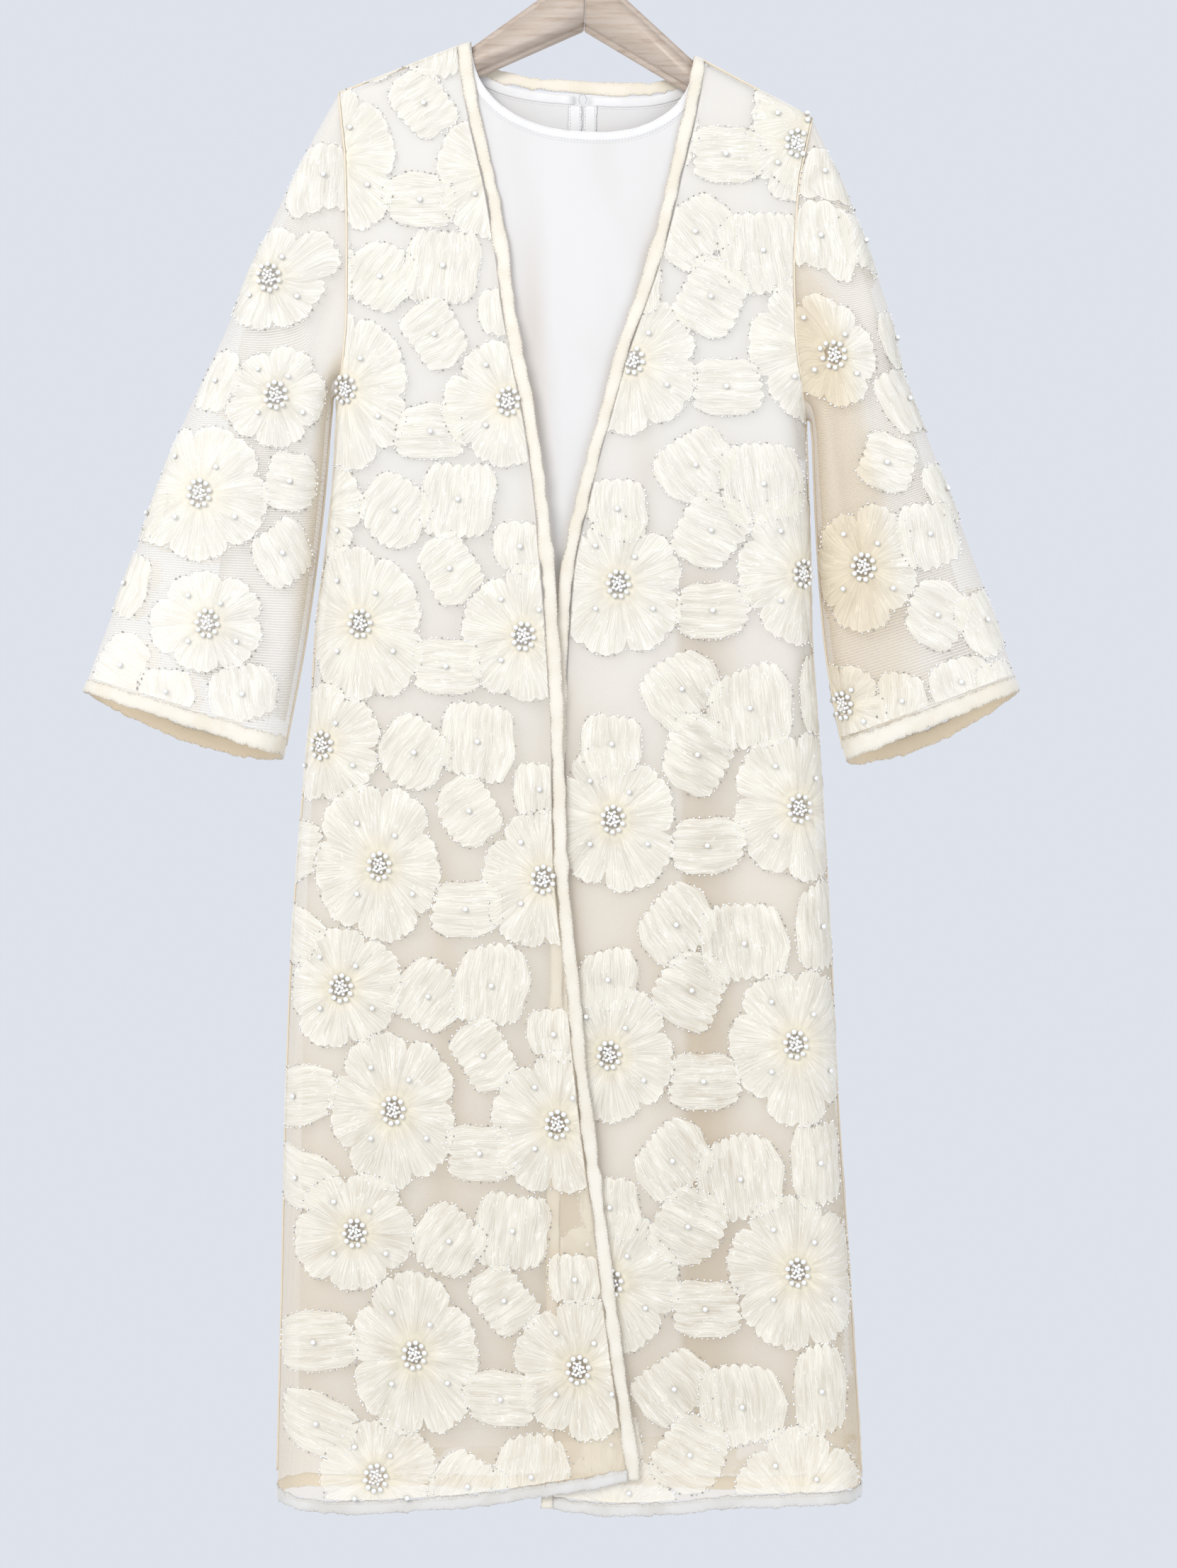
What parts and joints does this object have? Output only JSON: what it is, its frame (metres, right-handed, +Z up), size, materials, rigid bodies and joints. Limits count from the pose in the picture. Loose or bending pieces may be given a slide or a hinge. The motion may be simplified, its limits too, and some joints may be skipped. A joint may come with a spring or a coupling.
{
  "type": "abaya with its inner slip on a wooden hanger",
  "caption": "Open-front net abaya with gathered flowers and beads, over a plain round-necked slip with long side seams, hanging flat on a wooden hanger.",
  "frame": {"origin": "inside top of the hanger's hook, where it rests on a rail", "axes": "+X to the garment's right as the viewer sees it, +Y away from the viewer through the garment's thickness, +Z up"},
  "size_m": [0.7942, 0.0866, 1.3648],
  "materials": {
    "net": "fine see-through net with gathered tulle flowers",
    "edge_band": "soft turned edge, slightly fuzzy",
    "slip_cloth": "matt smooth cloth",
    "slip_binding": "matt topstitched binding",
    "beech": "satin lacquered beech",
    "hook_metal": "polished"
  },
  "bodies": {
    "root": {"coat_front_left": "net", "coat_front_right": "net", "coat_back": "net", "coat_sleeve_left": "net", "coat_sleeve_right": "net", "front_band_left": "edge_band", "front_band_right": "edge_band", "neck_band_back": "edge_band", "hem_band_left": "edge_band", "hem_band_right": "edge_band", "hem_band_back": "edge_band", "cuff_band_left": "edge_band", "cuff_band_right": "edge_band", "slip_front": "slip_cloth", "slip_back": "slip_cloth", "slip_sleeve_left": "slip_cloth", "slip_sleeve_right": "slip_cloth", "slip_neck_front": "slip_binding", "slip_neck_back_left": "slip_binding", "slip_neck_back_right": "slip_binding", "hanger_arm_left": "beech", "hanger_arm_right": "beech", "hanger_hook": "hook_metal"}
  },
  "joints": []
}
